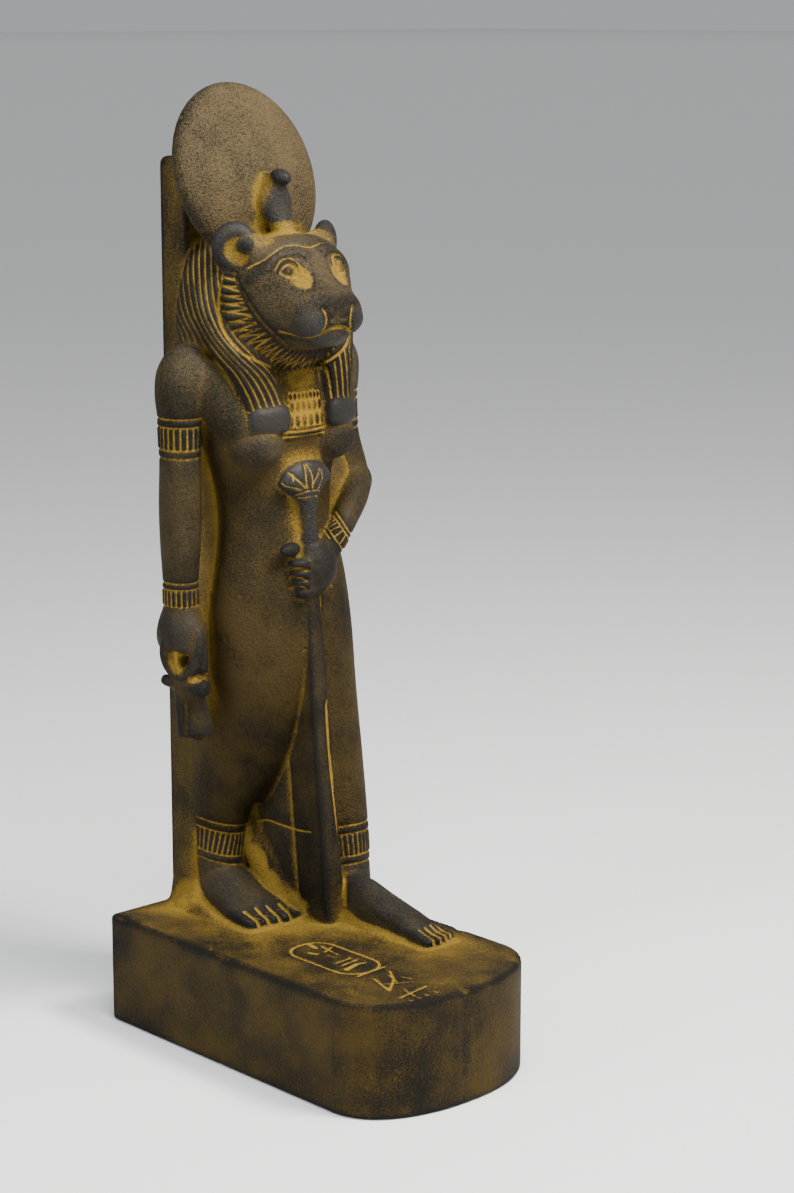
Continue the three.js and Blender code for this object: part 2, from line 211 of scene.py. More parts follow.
piece = bmesh.new()
block = Matrix.Diagonal((2 * pillar_half, pillar_depth, pillar_top - pillar_foot, 1))
bmesh.ops.create_cube(piece, size=1, matrix=block)
centre = spot(0, pillar_depth / 2, (pillar_top + pillar_foot) / 2)
bmesh.ops.translate(piece, vec=centre, verts=piece.verts)
upper = [e for e in piece.edges if min(v.co.z for v in e.verts) > pillar_top / 2]
rounded = [e for e in upper if e.verts[0].co.y != e.verts[1].co.y]
bmesh.ops.bevel(
    piece, geom=rounded, offset=pillar_corner, segments=4, profile=0.5, affect="EDGES", material=-1
)
lay("pillar", piece)
form("pillar", [
    (0, 7.0, 52, 20, 7.0, 14),
    (0, 7.6, 47, 22.6, 7.6, 14),
    (0, 8.7, 43, 24.6, 8.7, 12),
    (0, 10.2, 39, 28.2, 10.2, 10),
], sides=64)

# Legs. Long legs under a tight dress, the left one ahead, with a band round each bare ankle. The mould
# leaves a slab of stone between them and fillets at the feet; the sceptre's shaft stands before them.
anklet_bars = 30
hoop_shares = (0, 0.21, 0.79, 1)
band_groove = 0.6
band_line = 0.62
far = 9.0
patterns = []


def band(top, foot, reach, bars, names, thick=0.35):
    """A band round a limb: two hoops with upright bars between them, raised and parted by ochre lines."""
    head, tail = spot(*top), spot(*foot)
    axis = (tail - head).normalized()
    side = axis.cross(Vector((0, 1, 0))).normalized()
    front = axis.cross(side)

    def carve(points):
        from_head = points - np.array(head)
        along = from_head @ np.array(axis)
        x, y = from_head @ np.array(side), from_head @ np.array(front)
        radius = np.hypot(x, y)
        share = along / (tail - head).length
        near = (radius < reach) & (share > -0.12) & (share < 1.12)
        hoops = np.min([np.abs(share - at) for at in hoop_shares], axis=0) * (tail - head).length
        turn = np.arctan2(y, x) * bars / (2 * math.pi)
        uprights = np.abs(turn - np.round(turn)) * 2 * math.pi * radius / bars
        uprights = np.where((share > hoop_shares[1]) & (share < hoop_shares[2]), uprights, far)
        line = np.where(near, np.minimum(hoops, uprights), far)
        body = near * np.clip(1.5 - np.abs(share - 0.5) * 3 + 0.12, 0, 1)
        return body * thick - near * band_groove * np.clip(1 - line / band_line, 0, 1), line + 0.1

    patterns.append((names, carve))


form("dress", [
    (-12, 31, 156, 13, 13),
    (-11, 27, 130, 14.4, 14.6),
    (-11.2, 22.5, 106, 13.6, 13.4),
    (-11.8, 18.6, 86, 11.8, 11.6),
    (-12, 16, 73, 10.1, 10.2),
    (-12, 15.4, 69, 9.6, 9.8),
], sides=48)
form("dress", [
    (8, 33, 188, 7, 9),
    (11, 36, 168, 12, 12.5),
    (13, 38.5, 145, 12.9, 13.3),
    (14.3, 42, 117, 11.6, 12.2),
    (14.8, 46.3, 92, 10.7, 11.1),
    (15, 50, 72, 9.7, 10),
    (15, 50.8, 68, 9.4, 9.6),
], sides=48)
form("ankle", [
    (-12, 15.4, 74, 9.4, 9.6),
    (-12, 15, 54, 8.9, 9.3),
    (-12, 15.3, 46, 8.4, 9.6),
    (-12, 16, 38, 8.6, 10.5),
])
form("ankle", [
    (15, 50.2, 74, 9.2, 9.4),
    (14.8, 52.8, 54, 8.5, 8.9),
    (14.4, 54, 46, 8, 9.4),
    (14, 55, 38, 8, 10),
])
band((-10.6, 16.3, 70.2), (-13.3, 14.8, 56.2), 14, anklet_bars, ("ankle", "dress"))
band((15, 50.3, 70.6), (14.8, 52.7, 57), 14, anklet_bars, ("ankle", "dress"))
form("slab", [(6, 26, 124, 7.5, 25.5, 14), (6, 27, 36, 7.5, 26.5, 14)], sides=64)
form("slab", [(-1, 12, 122, 7.5, 11, 8), (-1, 12, 38, 7.5, 11, 8)])
form("fillet", [(-3.4, 17, 72, 3, 5), (-3.4, 28, 56, 4.6, 5), (-2.8, 42, 43, 4, 3.4), (-2.6, 52, 39, 4, 2)])
form("shaft", [
    (2.1, 42, 164, 3.5, 8, 14),
    (2.1, 44.4, 150, 3.6, 7.4, 14),
    (2.2, 49, 100, 4, 7.4, 14),
    (2.3, 55.2, 39, 4.6, 7.4, 14),
    (2.3, 55.3, 38, 4.6, 7.4, 14),
], sides=64)
# The step across the slab, the seam beside the shaft, the hollow under the step, and ochre in the corners.
cut([(-2, 25, 69), (-2, 30, 70.3), (-2, 38, 70.1), (-2, 46, 70.4), (-2, 53, 71.2)], wide=1.1, deep=0.4)
cut([(5.6, 51, 154), (4.6, 53, 120), (4.6, 57, 96), (6, 59, 69), (7.6, 60, 56), (8.4, 61, 45)],
    wide=1.6, deep=0.8)
cut([(-2, 26, 68), (-4.8, 28.4, 63), (-6, 33, 56), (-3.4, 40, 50), (-2.4, 50, 45)],
    wide=3, deep=0.3, ochre=False)
for at, size in (
    ((-7, 29, 57), (3.4, 8, 6)),
    ((-6.4, 37, 50.4), (3.4, 9, 4.6)),
    ((-4.4, 47, 44.4), (4, 9, 4)),
    ((-25, 11, 42), (9, 9, 8)),
    ((8, 53, 54), (4, 7, 15)),
    ((7, 60, 41.4), (6, 11, 4)),
):
    swell(at, size, ochre=1.3)

# Feet. Bare and flat on the plinth, cast with it, with five straight toes and square nails. Ochre lies thick
# round them. A toe is told by its place across the foot and its width, as shares of the foot's width.
toe_shares = ((0.14, 0.135), (0.37, 0.098), (0.56, 0.095), (0.74, 0.09), (0.91, 0.085))
feet = ((-14.6, 5, 50.5, 24.6, 1), (12.6, 47, 104.5, 15, -1))
nail_front = 1.0
nail_back = 3.6
for side, heel, toe, wide, inner in feet:
    long = toe - heel
    form("foot", [
        (side, heel + long * 0.9, 40.6, wide * 0.45, 2.6, 2.6),
        (side, heel + long * 0.8, 41.6, wide * 0.46, 4.0, 2.5),
        (side, heel + long * 0.66, 42.8, wide * 0.45, 5.6, 2.4),
        (side + inner, heel + long * 0.5, 44.2, wide * 0.42, 7.8, 2.3),
        (side + inner * 1.6, heel + long * 0.34, 45.6, wide * 0.37, 9.8, 2.2),
        (side + inner * 1.6, heel + long * 0.2, 45.6, wide * 0.34, 9.4, 2.2),
        (side + inner * 1.6, heel, 43, wide * 0.28, 6, 2.2),
    ])
    for number, (share, thick) in enumerate(toe_shares):
        x = side + inner * (0.5 - share) * wide
        thick = thick * wide
        tall = 0.4 + 0.9 * min(thick, 2.8)
        tip = toe - (0 if number == 0 else 0.5 * number - 0.8)
        form("foot", [
            (x, tip, 40.4, thick * 0.5, 1.0, 2.4),
            (x, tip - 0.8, 40.8, thick * 0.84, 2.0, 2.5),
            (x, tip - 3.4, 41.2, thick * 0.96, tall, 2.4),
            (x, tip - 9, 42.2, thick * 0.9, tall, 2.3),
            (x, tip - 15, 42, thick * 0.7, 2),
        ], sides=20)
        top = 41.2 + tall
        nail = thick * 0.62
        cut([
            (x - nail, tip - nail_front, top),
            (x - nail, tip - nail_back, top),
            (x + nail, tip - nail_back, top),
            (x + nail, tip - nail_front, top),
        ], wide=0.6, deep=0.25)
        if number:
            x = (x + before) / 2
            cut([(x, tip - 0.5, 41), (x, tip - 4, 42), (x, tip - 8, 43)], wide=1.7, deep=1.1)
        before = side + inner * (0.5 - share) * wide
    form("fillet", [
        (side, heel + long * 1.0, 39, wide * 0.54, 1.3, 2.6),
        (side, heel + long * 0.6, 39.4, wide * 0.58, 2.2, 2.6),
        (side, heel + long * 0.1, 40, wide * 0.58, 4, 2.4),
    ])

# Body. The dress clings to the hips and the waist, and shows as cloth only at the double border under the
# bead collar, between the ends of the wig. The beads hang in three rows on a plain bib.
bead_rows = ((225.2, 222.9, 1.75), (222.2, 219.0, 2.5), (218.0, 213.8, 2.9))
bead_middle = 1.0
bead_half = 7.6
bead_lift = 0.9
border_lines = (212.2, 210.3)
border_depth = 0.45
form("dress", [
    (0, 27, 243, 12, 11),
    (0, 27, 238, 27, 12, 2.2),
    (0, 28.5, 231, 31.2, 14, 2.3),
    (0, 30, 222, 31, 15.4, 2.3),
    (0, 32, 210, 28.5, 15.8),
    (0, 32.5, 200, 25, 15),
    (0, 32.8, 190, 22.6, 14.2),
    (0, 33.5, 180, 22, 14),
    (0, 34.2, 170, 23.4, 15),
    (0, 34.5, 158, 25.6, 16.4),
    (0, 34, 146, 27, 17),
    (0, 33.5, 133, 26.4, 17.2),
    (0, 32.4, 120, 24.4, 16),
    (-2, 30, 106, 20, 14),
    (-5, 26.5, 93, 15, 11),
    (-9, 22, 80, 10, 8),
], sides=72)


def lump(region, at, size, turn=0.0, nod=0.0):
    """An egg-shaped form, nodded about its sideways axis and then turned about the upright."""
    piece = bmesh.new()
    place = Matrix.Translation(spot(*at)) @ Matrix.Rotation(turn, 4, "Z") @ Matrix.Rotation(nod, 4, "X")
    place = place @ Matrix.Diagonal((size[0], size[1], size[2], 1))
    bmesh.ops.create_uvsphere(piece, u_segments=32, v_segments=20, radius=1, matrix=place)
    lay(region, piece)


for side in (-1, 1):
    form("chest", [
        (33 * side, 25, 237, 4, 5),
        (30.4 * side, 29.4, 232, 6.8, 7.8),
        (25.6 * side, 34.6, 223, 7.6, 8.6),
        (20.4 * side, 39.4, 214.6, 8, 9),
        (16.4 * side, 42, 209, 6.6, 7),
    ])
    lump("chest", (16.4 * side, 42.4, 208), (9.6, 10.2, 8.2))
form("collar", [(0, 39, 240, 10, 6, 2.6), (0.4, 43, 226, 11, 5.2, 2.6), (0.6, 45.2, 209.6, 14, 4.6, 2.4)])


def beads(points):
    """Three rows of hanging beads, longer towards the border, and the border's two lines."""
    x, z = points[:, 0] - middle, points[:, 2]
    lift, line = np.zeros(len(x)), np.full(len(x), far)
    for top, foot, spacing in bead_rows:
        off = (x / spacing - np.round(x / spacing)) * spacing
        rim = np.hypot(off / (spacing * 0.36), (z - (top + foot) / 2) / ((top - foot) / 2))
        inner = (np.abs(x - bead_middle) < bead_half) & (z < top + 0.6) & (z > foot - 0.6)
        lift += inner * bead_lift * np.clip(1.15 - rim, 0, 0.55)
        line = np.where(inner, np.clip(1.5 - 1.1 * rim, 0, far), line)
    for height in border_lines:
        away = np.abs(z - height - (x / 15) ** 2)
        lift -= border_depth * np.clip(1 - away / 0.7, 0, 1)
        line = np.minimum(line, away)
    return lift, line


patterns.append((("collar",), beads))
# Ochre washes on the bib and the belly; the one on the neck under the chin is kept thin, so that the panel
# shows darker: painted shade under the head.
swell((0.4, 46, 229.5), (9, 9, 6), ochre=0.42)
swell((0.6, 48, 219), (8.5, 6, 8), ochre=0.5)
swell((-1, 48, 184), (8, 9, 14), ochre=0.38)
swell((0, 47, 203), (13, 8, 5), ochre=0.4)

# Arms. The right one hangs with its fist round the looped cross; the left one is bent, and its fist holds
# the flower stem. Both wear a band on the upper arm and one at the wrist, and the stone behind them is kept.
arm_bars = 20
bracelet_bars = 15
form("arm", [
    (-29, 27, 240, 3, 4),
    (-31.6, 27, 237.6, 7, 8),
    (-34, 27, 232, 9, 10),
    (-35.6, 27, 225, 8.6, 9.4),
    (-36.4, 27, 216, 7, 7.8),
    (-36.4, 27, 204, 6.8, 7.4),
    (-36.6, 27, 188, 7.2, 7.6),
    (-36.8, 27, 174, 6.8, 7.2),
    (-37, 27, 162, 6, 6.4),
    (-37, 27, 150, 5.8, 6.2),
])
form("hand", [
    (-37, 27, 153, 5.8, 6.2),
    (-37.3, 27.2, 149, 7, 7.6, 2.2),
    (-37.5, 27.6, 145.4, 7.8, 8.7, 2.3),
    (-37.4, 27.8, 142, 7.9, 8.8, 2.3),
    (-37, 27.8, 139.6, 7, 8, 2.3),
    (-36.6, 27.8, 138.6, 4.6, 5, 2.2),
])
form("hand", [
    (-33, 26, 143, 5, 6),
    (-31.8, 26.4, 136, 4.6, 6.4),
    (-31.4, 26.8, 130.6, 4, 5.8),
    (-31.2, 26.8, 127.4, 2.4, 3),
])
band((-36.4, 27, 218), (-36.4, 27, 204.6), 10, arm_bars, ("arm",))
band((-37, 27, 161.8), (-37, 27, 151.4), 10, arm_bars, ("arm",))
form("arm", [
    (29, 26, 240, 3, 4),
    (31.4, 26, 237.6, 7, 8),
    (33.6, 26, 232, 8.8, 9.6),
    (34.6, 26, 225, 8.2, 9),
    (35.2, 26, 216, 7, 7.6),
    (35.8, 27, 204, 6.9, 7.5),
    (36.8, 29.4, 193, 7.4, 7.8),
    (36, 32.4, 185.6, 6.6, 7),
    (34, 34.4, 181, 3.4, 4),
])
form("arm", [
    (40.6, 30.2, 191.4, 3, 3),
    (38.6, 32.4, 190, 5.8, 6.2),
    (34.6, 36.4, 187.4, 5.8, 5.8),
    (29.6, 41, 184, 5, 5.2),
    (22, 45.6, 179, 4.5, 4.6),
    (15.6, 48.4, 174.2, 4.2, 4.4),
    (9, 50, 169.4, 4.6, 4.8),
], across=(0, 1, 0))
band((35, 26, 220.4), (35.6, 26.6, 207.4), 10, arm_bars, ("arm",))
band((18.9, 49.4, 176.5), (14.2, 46.1, 172.7), 8, bracelet_bars, ("arm",))
lump("hand", (4, 49.6, 165), (9, 7.4, 9.4), turn=0.3)
lump("hand", (-8.4, 51, 172.4), (5.2, 2.7, 2.5), turn=0.25)
for finger in range(4):
    lump("hand", (-4.6 + 0.7 * finger, 51.4, 167.4 - 3.5 * finger), (4.2, 4, 2.1))
    if finger:
        z = 169.1 - 3.5 * finger
        cut([(-8, 50.5, z + 0.2), (-6, 54, z), (-3.6, 55.6, z - 0.2)], wide=1.0, deep=0.9)
form("web", [
    (-16.5, 20, 229, 15, 6.5, 12),
    (-16.5, 20.5, 205, 15, 7, 12),
    (-16.5, 20.5, 165, 15, 7, 12),
    (-16.5, 20.5, 130, 15, 7, 12),
    (-16, 19, 104, 13.6, 6, 12),
], sides=64)
form("web", [
    (16, 19, 232, 17, 8, 12),
    (17, 22, 204, 17.4, 9.4, 12),
    (16, 26, 188, 16, 12, 12),
    (14, 27, 172, 14, 12, 12),
], sides=64)

# Looped cross. It hangs below the right fist, cast with it, its loop closed at the back, its foot flared and
# a bridge of stone behind it.
form("cross", [
    (-36.4, 35.4, 146, 1.6, 1.6),
    (-37.0, 35.8, 143.4, 2.3, 2.4),
    (-37.3, 35.9, 139, 2.6, 2.6),
    (-37.7, 35.2, 135, 2.6, 2.6),
    (-38.8, 33.6, 131.6, 2.4, 2.5),
    (-40.6, 31.4, 129.8, 2.1, 2.2),
    (-42.6, 29.6, 130.8, 1.8, 1.8),
    (-44.6, 28.2, 134, 1.5, 1.5),
    (-45.4, 27.4, 138, 1.3, 1.4),
    (-45, 27.4, 142, 1.2, 1.3),
], sides=20, across=(0.7, 0.7, 0))
lump("web", (-39.6, 28, 136), (7, 1.9, 8), turn=0.78)
form("web", [(-31.4, 24, 146, 4.6, 6, 4), (-31.4, 25, 126, 4.6, 6, 4), (-31, 26, 106, 4.6, 4, 4)], sides=32)
form("cross", [
    (-42, 22.2, 127.7, 1.1, 1.2),
    (-41.6, 23.4, 127.5, 1.9, 2.0),
    (-40, 28, 126.8, 2.3, 2.4),
    (-37.6, 34, 126.2, 2.9, 2.9),
    (-36.2, 37.6, 125.8, 3.1, 3.1),
    (-35.6, 39.2, 125.6, 2.3, 2.3),
], sides=24)
form("cross", [
    (-37.4, 30, 127, 4.6, 3.2, 4),
    (-36.4, 30.6, 121, 5.4, 3.6, 4),
    (-35.6, 30.9, 115, 5.8, 3.9, 4),
    (-34.8, 31, 108.6, 6.2, 4.1, 4),
], sides=32, across=(0.73, -0.68, 0))
cut([(-40, 32.5, 121), (-39.8, 32.4, 115), (-39.5, 32, 109.2)], wide=1.2, deep=0.7, ochre=False)
swell((-42.4, 31.4, 135.6), (3.4, 3.8, 4.8), lift=-0.6, ochre=1.2)
swell((-38.4, 35.4, 129.2), (3.4, 4.4, 2), ochre=1.2)

# Flower sceptre. An open head with layered petals, bound twice to a waisted stem; the shaft goes on below
# the fist as the square bar before the dress.
form("flower", [
    (1, 47.4, 201.4, 3.6, 1.4),
    (1, 47.6, 200.5, 7, 2.6),
    (1.1, 47.8, 198, 10, 3.7),
    (1.2, 48, 195.4, 11.3, 4.2),
    (1.2, 48, 194.2, 11.1, 4.2),
    (1.3, 48.3, 191.4, 7.4, 4),
    (1.4, 48.6, 189, 4.9, 3.7),
    (1.5, 48.6, 187, 3.5, 3.4),
])
form("flower", [
    (1.5, 48.6, 190, 3.5, 3.5),
    (1.5, 48.8, 184, 3.1, 3.3),
    (1.7, 49, 178, 3, 3.2),
    (2.2, 49.2, 171, 4, 4),
], sides=28)
for line in (
    [(-9.1, 48.2, 195), (-3.4, 51, 192.5)],
    [(-7.3, 49.5, 198.6), (-5, 50.8, 196.1), (-1.8, 51.4, 193.1)],
    [(-6.3, 50.3, 195.7), (-6.2, 50.2, 198)],
    [(-0.7, 49.9, 200.9), (-1.4, 51.3, 196.2), (-1, 51.6, 192.8)],
    [(0.1, 50, 200.9), (1.2, 51.3, 196.9), (1.2, 51.7, 192.6)],
    [(5.6, 50.5, 198.9), (3, 51.4, 195.7), (1.2, 51.6, 194)],
    [(6.1, 50.5, 198.4), (6, 50.9, 195.3), (4.1, 51.2, 192.2)],
    [(11.4, 48.5, 194.6), (6.4, 50.8, 192)],
):
    cut(line, wide=1.0, deep=0.45)
for z in (191.4, 189.4):
    cut([(-4.6, 49.4, z - 0.9), (-2.4, 51.1, z), (1.6, 51.8, z + 0.4), (7, 49.8, z - 0.6)],
        wide=0.8, deep=0.4)

# Wig. It lies in long rounded cords over the shoulders and ends in two lappets with plain thick tips. The
# cords run alongside the ruff's edge, so each is told by its distance from that edge.
cord_spacing = 2.85
cord_depth = 0.75
cord_groove = 0.95
tip_height = 220.4
lappet_inside = 9.0
wig_top = 279
edge_rows = np.array([
    (213, 7, 49.4),
    (222, 8, 49),
    (232, 12.6, 47.4),
    (239, 18.6, 45),
    (246, 24, 42),
    (253, 26.6, 39.4),
    (261, 27.4, 37.6),
    (270, 27.4, 36.6),
    (280, 27, 36),
])
form("wig", [
    (0, 28, 279.5, 10, 9),
    (0, 27, 276, 19, 15),
    (0, 26, 269, 26.4, 19),
    (0, 25, 258, 30.6, 20),
    (0, 25, 247, 31.6, 20.6),
    (0, 25, 240, 30, 19.4),
    (0, 25.5, 233, 25, 16),
], sides=80)
for side in (-1, 1):
    form("wig", [
        (26 * side, 27, 260, 4, 5),
        (25.6 * side, 31.4, 252, 6.6, 6, 2.2),
        (23.6 * side, 37, 244.6, 7.6, 6, 2.4),
        (19.4 * side, 42.2, 236, 7.4 - 0.2 * side, 5.6, 2.6),
        (16.8 * side, 45.6, 226, 6.9 - 0.5 * side, 4.4, 2.8),
        (15.9 * side + 0.5, 47, 217, 6.6 - 0.6 * side, 3.4, 3),
    ], sides=48, across=(1, 0.17 * side, 0))
    tip_at = 15.9 * side + 0.7
    slimmer = 0.6 * side
    form("tip", [
        (tip_at, 47.4, tip_height, 6.6 - slimmer, 3.0, 3.4),
        (tip_at, 47.7, 219.6, 7.4 - slimmer, 3.9, 3.2),
        (tip_at, 47.9, 217, 7.6 - slimmer, 4.3, 3),
        (tip_at, 47.9, 214.6, 7.3 - slimmer, 3.9, 3),
        (tip_at, 47.7, 213.6, 6.5 - slimmer, 2.8, 3),
    ], sides=56, steps=3, across=(1, 0.17 * side, 0))


def cords(points):
    """Rounded cords parted by grooves, offset from the ruff's edge, but upright on the left lappet."""
    x, d, z = np.abs(points[:, 0] - middle), back_plane - points[:, 1], points[:, 2]
    edge = bend(edge_rows, 6)
    edge_x = np.interp(z, edge[:, 0], edge[:, 1])
    edge_d = np.interp(z, edge[:, 0], edge[:, 2])
    beyond = np.where(z > 224, x - edge_x + 0.9 * (edge_d - d), 0)
    upright = np.where(points[:, 0] > middle, np.interp(z, (238, 250), (1, 0)), 0)
    edge_x += upright * (lappet_inside - edge_x)
    away = (x - edge_x) + np.interp(z, (228, 246), (0.3, 0.9)) * (edge_d - d) * (1 - 0.8 * upright)
    turn = away / cord_spacing
    line = np.abs(turn - np.round(turn)) * cord_spacing
    shown = (z > tip_height - 0.3) & (z < wig_top) & (beyond > -1)
    line = np.where(shown, line, far)
    line = np.minimum(line, np.where(z < 230, np.abs(z - tip_height), far))
    return -cord_depth * np.clip(1 - (line / cord_groove) ** 2, 0, 1) ** 2, line


patterns.append((("wig",), cords))

# Mane. A ruff of pointed locks round the cheeks and under the chin, in two rows whose points interlock;
# ochre fills the zigzag between them.
ruff_wide = 27.0
ruff_tall = 22.9
ruff_height = 255.0
face_share = 0.735
locks = 56
lock_depth = 0.7
fringe_top = 17
form("mane", [
    (0, 50.5, 258.5, 17, 17.5),
    (0, 46.4, 257.2, 21.4, 20.4),
    (0, 40.6, 255.2, 26.4, 22.8),
    (0, 38.2, 254.4, 26.2, 22.4),
    (0, 30, 251, 21, 16),
], sides=80, steps=3)


def fur(points):
    """The zigzag between the two rows of locks, told in polar terms seen from the front."""
    x, z = points[:, 0] - middle, points[:, 2] - ruff_height
    share = np.hypot(x / ruff_wide, z / ruff_tall)
    turn = np.arctan2(x, -z) / (2 * math.pi) * locks
    turn = turn + 0.1 * np.sin(turn * 1.7) + 0.05 * np.sin(turn * 4.1 + 1)
    across = (share - face_share) / (1 - face_share)
    zigzag = 0.04 + 0.92 * (2 * np.abs(turn - np.round(turn)))
    line = np.abs(across - zigzag) * 1.55
    line = np.where(z > fringe_top, far, line)
    crest = np.clip(1 - (line / 0.8) ** 2, -0.5, 1)
    return -lock_depth * crest, line + 0.08


patterns.append((("mane",), fur))
# The ruff's inner edge, against the face, and its outer one, against the wig.
cut([
    (-21.2, 39.5, 266), (-22.2, 42.8, 261.8), (-21, 47.2, 255.8), (-18.3, 50.2, 250), (-13.8, 52.4, 244.9),
    (-9.5, 53, 241.4), (-3.6, 54.2, 240.2), (0, 54.4, 240),
], wide=1.1, deep=1.1, ochre=False, both=True)
cut([
    (-24.6, 36, 266), (-26.6, 36.4, 256.2), (-28, 40.3, 249), (-26.4, 43.6, 243.4), (-22.4, 45.6, 239.4),
    (-15, 46, 235), (-9, 45, 232.6),
], wide=1.2, deep=0.8, both=True)

# Head. A lioness with a broad muzzle, deep inner eye corners and round ears. A plain cap is drawn down to
# the brow, where one fine line ends it.
form("head", [
    (0, 67.6, 253.2, 5, 3),
    (0, 66.6, 253.2, 9, 5.4, 2.3),
    (0, 65, 253, 11.4, 7.5, 2.3),
    (0, 62.4, 252.7, 13.5, 10.3, 2.2),
    (0, 59.6, 253.6, 14.4, 12.5, 2.1),
    (0, 56, 256, 16.2, 15.2, 2.2),
    (0, 52, 257.8, 19.4, 17.8, 2.3),
    (0, 48, 259.1, 22, 19, 2.3),
    (0, 41, 260, 22.8, 18.8, 2.1),
    (0, 32, 260, 21.6, 17.2),
    (0, 26, 260, 18, 13),
], sides=64, along=(0, -1, 0))
lump("muzzle", (0, 60.6, 245.2), (9.4, 5.6, 3.6))
lump("muzzle", (0, 63.6, 255.2), (5.4, 4.2, 3.6))
for side in (-1, 1):
    lump("muzzle", (8.1 * side, 61.2, 251), (6.5, 6.7, 5.9))
    lump("ear", (20 * side, 37.5, 274.2 - 0.8 * side), (8.2, 4, 8.7), turn=0.55 * side)
    lump("head", (13.6 * side, 41, 273), (7, 5.4, 6.4))
# The cap's edge over the brow, the brow's ridge and the crest of the nose.
cut([
    (-19, 44.4, 267.6), (-16.7, 48, 269.8), (-13.9, 49.5, 272.3), (-11.3, 49.9, 274), (-8.8, 50.4, 274.9),
    (-6, 51.3, 275.4), (-3, 52.4, 275.1), (0, 53, 274.5),
], wide=0.9, deep=0.35, both=True)
cut([
    (-20.4, 46.8, 264.4), (-18.3, 49, 267.2), (-14.1, 51, 270.6), (-10.2, 51.8, 272.8), (-6.5, 53, 273.4),
    (-3.4, 54.4, 272.6),
], wide=6, deep=-0.55, ochre=False, both=True)
cut([(-12.3, 63.3, 255.3), (-8.4, 65.2, 257.6), (-3.9, 66.5, 258), (0, 67, 257.6)],
    wide=6, deep=-0.45, ochre=False, both=True)
# Upper lid with its raised edge, the eye's outline, the ball, and the washed hollow at the inner corner.
cut([
    (-15.1, 52.5, 267.4), (-13.4, 52.3, 269.8), (-10.9, 52.8, 271.2), (-9, 53.9, 271.2), (-7.6, 55.7, 269.7),
    (-7.5, 56.6, 268.2),
], wide=0.9, deep=0.45, both=True)
cut([(-14.6, 53.1, 267), (-12.9, 53, 269.3), (-10.8, 53.6, 270.4), (-9.1, 54.9, 269.9), (-8.3, 56.2, 268.3)],
    wide=1.5, deep=-0.45, ochre=False, both=True)
cut([
    (-14.3, 53.6, 266.8), (-12.4, 53.8, 268.8), (-10.6, 54.4, 269.5), (-9.2, 55.9, 268.5), (-9.1, 56.8, 267),
], wide=0.9, deep=0.5, both=True)
cut([(-14.3, 53.6, 266.8), (-13, 55.2, 265.9), (-11.4, 56.6, 265.4), (-9.6, 57.2, 266)],
    wide=0.8, deep=0.4, both=True)
swell((-11.8, 55.2, 267.4), (2.4, 2.6, 1.8), lift=0.55, both=True)
swell((-8.4, 58.4, 264.8), (4.4, 4.6, 5), lift=-0.9, both=True)
swell((-9.8, 56.8, 266.4), (6, 6.6, 7.6), lift=-0.2, ochre=0.6, both=True)
swell((-7.8, 58.6, 264.4), (4, 4.4, 6), ochre=1.2, both=True)
# The dip between the whisker pads, and ochre on the crown between the ears.
swell((0, 67.4, 251.4), (4.4, 3, 4), lift=-0.7)
swell((-13.6, 44, 277), (7, 6, 4.6), ochre=0.6, both=True)
swell((0, 42, 280), (14, 6, 4), ochre=0.9)
# The side of the nose, the cleft beside each whisker pad, the mouth, the nostrils and the lower lip.
cut([(-7.4, 54, 271.8), (-5.2, 56.2, 269.6), (-5.2, 58.6, 266.4), (-7.2, 60.7, 262.6)],
    wide=2.2, deep=0.4, ochre=False, both=True)
cut([(-6.5, 66, 255.6), (-5.5, 67.4, 252.8), (-5.4, 67.3, 250), (-6.4, 66.4, 247.9)],
    wide=1.1, deep=0.8, both=True)
cut([
    (-14.4, 53.6, 247.6), (-12.4, 57, 246.4), (-10.8, 60.5, 245.5), (-9, 63.4, 245.6), (-6.4, 65.6, 246.8),
    (-3.4, 66.4, 248.4), (0, 66.3, 248.8),
], wide=1.4, deep=1.1, both=True)
swell((-3, 67.6, 251.8), (1.5, 1.6, 1.3), lift=-0.8, both=True)
swell((0, 66, 245.6), (5.4, 4, 1.8), lift=0.5, ochre=0.4)
# Each ear is dished, with a knob of hair at its root and a small pit.
for side in (-1, 1):
    swell((22 * side, 40.7, 273 - 0.8 * side), (5.8, 5.8, 6.2), lift=-2.6, ochre=1.1)
    swell((19.1 * side, 41.4, 274.4 - 0.8 * side), (3.4, 4.2, 3.6), lift=2.4, ochre=-2.4)
    swell((19 * side, 42.4, 272.6 - 0.8 * side), (1, 1.4, 1), lift=-0.9)

# Sun disc with its rearing cobra, standing on the head against the pillar. A few casting pits, a dark
# rubbed rim and old scratches are left on it.
disc_lean = 0.327
scratch_depth = 0.08
form("cobra", [
    (0, 32.4, 298, 1.6, 5.4),
    (0, 32.8, 295, 2.8, 6.4),
    (0, 34, 290.4, 5.9, 5.8),
    (0, 35.6, 286, 6, 4.8),
    (0, 38, 281, 4.4, 3.8),
    (0, 40.4, 275, 2.6, 3.6),
], sides=28)
lump("cobra", (0, 38.2, 297.2), (3.3, 4.5, 2.8), nod=0.25)
lump("disc", (0, 19.4, 296.8), (29.6, 10.8, 32.8), nod=-disc_lean)
swell((0, 34, 276), (26, 12, 9), ochre=0.9)
swell((-2, 34, 290), (8, 6, 14), ochre=0.75)
for x0, x1, z0, z1 in ((-9, -1, 291, 281), (-8, 0, 289.6, 280), (-12, -4, 285, 279)):
    halfway = ((x0 + x1) / 2 - 0.6, 33.6, (z0 + z1) / 2 - 0.8)
    cut([(x0, 33.4, z0), halfway, (x1, 33.6, z1)], wide=0.5, deep=scratch_depth)

